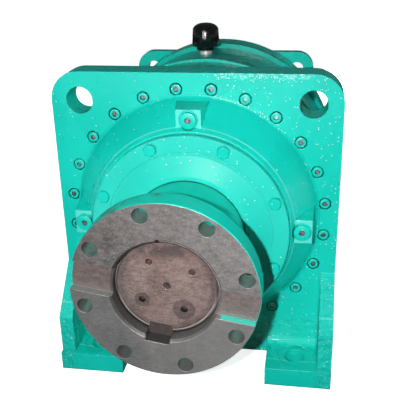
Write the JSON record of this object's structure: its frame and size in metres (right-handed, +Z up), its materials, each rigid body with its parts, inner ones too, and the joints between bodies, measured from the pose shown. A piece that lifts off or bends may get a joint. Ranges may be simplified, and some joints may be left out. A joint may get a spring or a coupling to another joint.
{
  "type": "planetary gear unit",
  "caption": "Foot-mounted coaxial planetary gear unit with a round ribbed casing, conical nose, slotted coupling flange on the output shaft and a keyed input shaft.",
  "frame": {"origin": "on the floor under the feet, below the middle of the unit's length", "axes": "+Z up, +Y along the shafts from the output coupling towards the input shaft, +X to the right for someone who looks at the coupling"},
  "size_m": [0.504, 0.877, 0.59],
  "materials": {
    "teal_paint": "gloss paint",
    "machined_steel": "turned",
    "gear_steel": "ground",
    "bearing_steel": "polished",
    "zinc_screws": "zinc plated",
    "black_screws": "black oxide",
    "bronze": "machined",
    "copper_washer": "soft",
    "seal_rubber": "matt",
    "chrome_fitting": "polished",
    "black_cap": "gloss"
  },
  "bodies": {
    "housing": {"front_housing": "teal_paint", "casing_screws": "teal_paint", "gear_casing": "teal_paint", "oil_plugs": "teal_paint", "plug_washers": "copper_washer", "bearing_cover": "teal_paint", "cover_bolts": "teal_paint", "output_seal": "seal_rubber", "front_bearing_outer_ring": "bearing_steel", "rear_cover": "teal_paint", "rear_cover_screws": "zinc_screws", "rear_support": "teal_paint", "rear_support_bolts": "zinc_screws", "rear_bearing_outer_ring": "bearing_steel", "input_bearing_outer_rings": "bearing_steel", "input_outer_spacer": "gear_steel", "input_cover": "teal_paint", "input_cover_bolts": "zinc_screws", "input_seal": "seal_rubber", "breather_washer": "copper_washer", "breather_stem": "chrome_fitting", "breather_cap": "black_cap"},
    "output": {"output_shaft": "machined_steel", "output_key": "gear_steel", "coupling_flange": "teal_paint", "bearing_clip": "gear_steel", "front_bearing_inner_ring": "bearing_steel", "carrier_rear": "machined_steel", "carrier_bolts": "black_screws", "pin_clips": "gear_steel", "thrust_washers": "bronze", "pilot_bush": "bronze", "rear_bearing_inner_ring": "bearing_steel", "planet_pin_1": "gear_steel", "planet_pin_2": "gear_steel", "planet_pin_3": "gear_steel"},
    "input": {"sun_shaft": "gear_steel", "input_key": "gear_steel", "input_bearing_inner_rings": "bearing_steel", "input_inner_spacer": "gear_steel"},
    "front_rollers": {"front_bearing_rollers": "bearing_steel"},
    "rear_rollers": {"rear_bearing_rollers": "bearing_steel"},
    "input_rollers": {"input_bearing_rollers": "bearing_steel"},
    "planet_1": {"planet_gear_1": "gear_steel", "planet_bush_1": "bronze"},
    "planet_2": {"planet_gear_2": "gear_steel", "planet_bush_2": "bronze"},
    "planet_3": {"planet_gear_3": "gear_steel", "planet_bush_3": "bronze"}
  },
  "joints": [
    {"name": "output_spin", "type": "hinge", "parent": "housing", "child": "output", "pos_m": [0, -0.1535, 0.294], "axis": [0, 1, 0], "continuous": true},
    {"name": "input_spin", "type": "hinge", "parent": "housing", "child": "input", "pos_m": [0, 0.2705, 0.294], "axis": [0, 1, 0], "continuous": true},
    {"name": "planet_1_spin", "type": "hinge", "parent": "output", "child": "planet_1", "pos_m": [0.01779, 0.024, 0.40508], "axis": [0, 1, 0], "continuous": true},
    {"name": "planet_2_spin", "type": "hinge", "parent": "output", "child": "planet_2", "pos_m": [-0.1051, 0.024, 0.25387], "axis": [0, 1, 0], "continuous": true},
    {"name": "planet_3_spin", "type": "hinge", "parent": "output", "child": "planet_3", "pos_m": [0.0873, 0.024, 0.22305], "axis": [0, 1, 0], "continuous": true},
    {"name": "front_rollers_roll", "type": "hinge", "parent": "housing", "child": "front_rollers", "pos_m": [0, -0.1805, 0.294], "axis": [0, 1, 0], "continuous": true},
    {"name": "rear_rollers_roll", "type": "hinge", "parent": "housing", "child": "rear_rollers", "pos_m": [0, 0.172, 0.294], "axis": [0, 1, 0], "continuous": true},
    {"name": "input_rollers_roll", "type": "hinge", "parent": "housing", "child": "input_rollers", "pos_m": [0, 0.2705, 0.294], "axis": [0, 1, 0], "continuous": true}
  ],
  "couplings": [
    {"joint": "input_spin", "follows": "output_spin", "ratio": 5},
    {"joint": "planet_1_spin", "follows": "output_spin", "ratio": -2.6667},
    {"joint": "planet_2_spin", "follows": "output_spin", "ratio": -2.6667},
    {"joint": "planet_3_spin", "follows": "output_spin", "ratio": -2.6667},
    {"joint": "front_rollers_roll", "follows": "output_spin", "ratio": 0.45217},
    {"joint": "rear_rollers_roll", "follows": "output_spin", "ratio": 0.45867},
    {"joint": "input_rollers_roll", "follows": "output_spin", "ratio": 2.1892}
  ]
}
